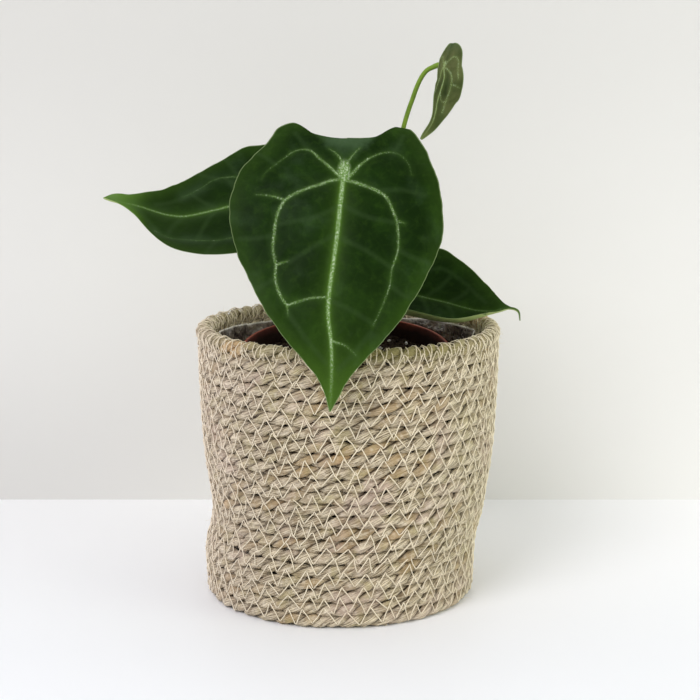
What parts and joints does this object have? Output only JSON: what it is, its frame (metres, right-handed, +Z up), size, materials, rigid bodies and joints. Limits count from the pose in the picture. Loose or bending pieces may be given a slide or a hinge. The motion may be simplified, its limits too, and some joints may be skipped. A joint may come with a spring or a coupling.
{
  "type": "potted anthurium forgetii",
  "caption": "Small aroid house plant with veined shield-shaped leaves, in a plastic nursery pot with a film liner, standing in a coiled jute rope basket.",
  "frame": {"origin": "centre of the basket's flat base, on the surface that it stands on", "axes": "+Z up, -Y towards the front leaf's upper face, +X to the right seen from the front"},
  "size_m": [0.2291, 0.1895, 0.3076],
  "materials": {
    "jute_rope": "rough twisted fibre, greyish beige",
    "film": "crumpled thin film",
    "terracotta_plastic": "satin",
    "peat": "loose dark peat with white grains",
    "rootstock": "fibrous",
    "petiole": "smooth",
    "blade": "velvety with pale veins",
    "young_blade": "olive-bronze, soft sheen"
  },
  "bodies": {
    "root": {"basket": "jute_rope", "liner": "film", "nursery_pot": "terracotta_plastic", "soil": "peat", "rootstock": "rootstock", "petiole_front": "petiole", "petiole_left": "petiole", "petiole_right": "petiole", "petiole_young": "petiole", "blade_front": "blade", "blade_left": "blade", "blade_right": "blade", "blade_young": "young_blade"}
  },
  "joints": []
}
